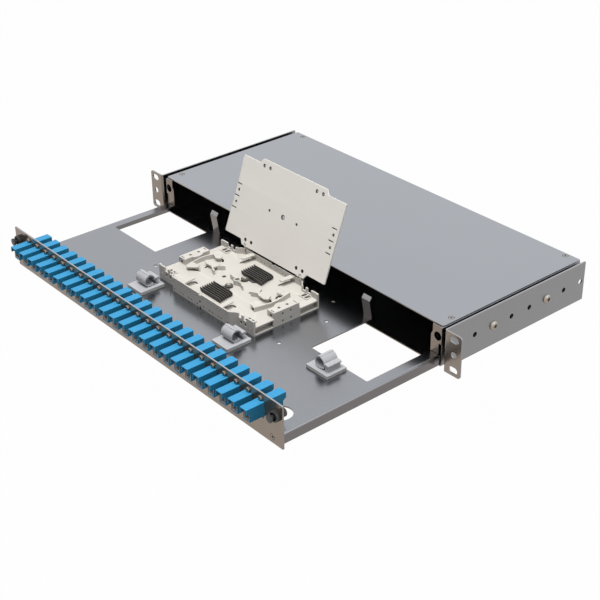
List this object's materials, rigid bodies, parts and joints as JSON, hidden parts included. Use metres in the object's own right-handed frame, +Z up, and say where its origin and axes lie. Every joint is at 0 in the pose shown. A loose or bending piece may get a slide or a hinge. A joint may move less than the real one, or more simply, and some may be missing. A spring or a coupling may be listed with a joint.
{
  "type": "fibre optic patch panel",
  "caption": "Rack-mount fibre patch panel with a pull-out tray, a front row of simplex adapters, a splice cassette under a hinged lid, and cable clips.",
  "frame": {"origin": "centre of the rack ears' hole pattern, on the front face of the ears, at the unit's mid-height", "axes": "+X right as seen from the front, +Y to the rear, +Z up"},
  "size_m": [0.4826, 0.4028, 0.1184],
  "materials": {
    "sheet_metal": "satin",
    "screw_steel": "satin",
    "screw_bronze": "satin",
    "adapter_blue": "satin",
    "liner_white": "matte",
    "latch_black": "gloss",
    "cassette_beige": "satin",
    "comb_dark": "matte",
    "clip_grey": "satin",
    "pad_foam": "matte",
    "black_rubber": "matte"
  },
  "bodies": {
    "housing": {"housing_shell": "sheet_metal", "rear_wall": "sheet_metal", "latch_plates": "sheet_metal", "top_cover": "sheet_metal", "rack_bracket_left": "sheet_metal", "rack_bracket_right": "sheet_metal", "bracket_screws": "screw_steel", "bracket_spacers": "screw_steel", "cable_grommets": "black_rubber", "cover_screws": "screw_steel"},
    "tray": {"tray": "sheet_metal", "front_panel": "sheet_metal", "panel_screws": "screw_steel", "adapter_01": "adapter_blue", "adapter_02": "adapter_blue", "adapter_03": "adapter_blue", "adapter_04": "adapter_blue", "adapter_05": "adapter_blue", "adapter_06": "adapter_blue", "adapter_07": "adapter_blue", "adapter_08": "adapter_blue", "adapter_09": "adapter_blue", "adapter_10": "adapter_blue", "adapter_11": "adapter_blue", "adapter_12": "adapter_blue", "adapter_13": "adapter_blue", "adapter_14": "adapter_blue", "adapter_15": "adapter_blue", "adapter_16": "adapter_blue", "adapter_17": "adapter_blue", "adapter_18": "adapter_blue", "adapter_19": "adapter_blue", "adapter_20": "adapter_blue", "adapter_21": "adapter_blue", "adapter_22": "adapter_blue", "adapter_23": "adapter_blue", "adapter_24": "adapter_blue", "adapter_inserts": "liner_white", "adapter_screws": "screw_bronze", "latch_sleeves": "latch_black", "cassette": "cassette_beige", "cassette_screws": "screw_steel", "splice_comb_front": "comb_dark", "splice_comb_rear": "comb_dark", "comb_screws": "screw_steel", "clip_pads": "pad_foam", "clip_base_1": "clip_grey", "clip_base_2": "clip_grey", "clip_base_3": "clip_grey"},
    "lid": {"lid": "cassette_beige"},
    "plunger_left": {"plunger_left": "latch_black"},
    "plunger_right": {"plunger_right": "latch_black"},
    "strap_1": {"clip_strap_1": "clip_grey"},
    "strap_2": {"clip_strap_2": "clip_grey"},
    "strap_3": {"clip_strap_3": "clip_grey"}
  },
  "joints": [
    {"name": "tray_slide", "type": "slide", "parent": "housing", "child": "tray", "axis": [0, 1, 0], "range_m": [0, 0.018]},
    {"name": "lid_hinge", "type": "hinge", "parent": "tray", "child": "lid", "pos_m": [0, -0.0189, 0.00915], "axis": [1, 0, 0], "range_deg": [0, 110.5]},
    {"name": "plunger_left_push", "type": "slide", "parent": "tray", "child": "plunger_left", "axis": [0, 1, 0], "range_m": [0, 0.0032]},
    {"name": "plunger_right_push", "type": "slide", "parent": "tray", "child": "plunger_right", "axis": [0, 1, 0], "range_m": [0, 0.0032]},
    {"name": "strap_1_hinge", "type": "hinge", "parent": "tray", "child": "strap_1", "pos_m": [-0.07, -0.13276, 0.00133], "axis": [1, 0, 0], "range_deg": [0, 50]},
    {"name": "strap_2_hinge", "type": "hinge", "parent": "tray", "child": "strap_2", "pos_m": [0.07, -0.13276, 0.00133], "axis": [1, 0, 0], "range_deg": [0, 50]},
    {"name": "strap_3_hinge", "type": "hinge", "parent": "tray", "child": "strap_3", "pos_m": [0.15554, -0.09, 0.00133], "axis": [0, -1, 0], "range_deg": [0, 50]}
  ]
}
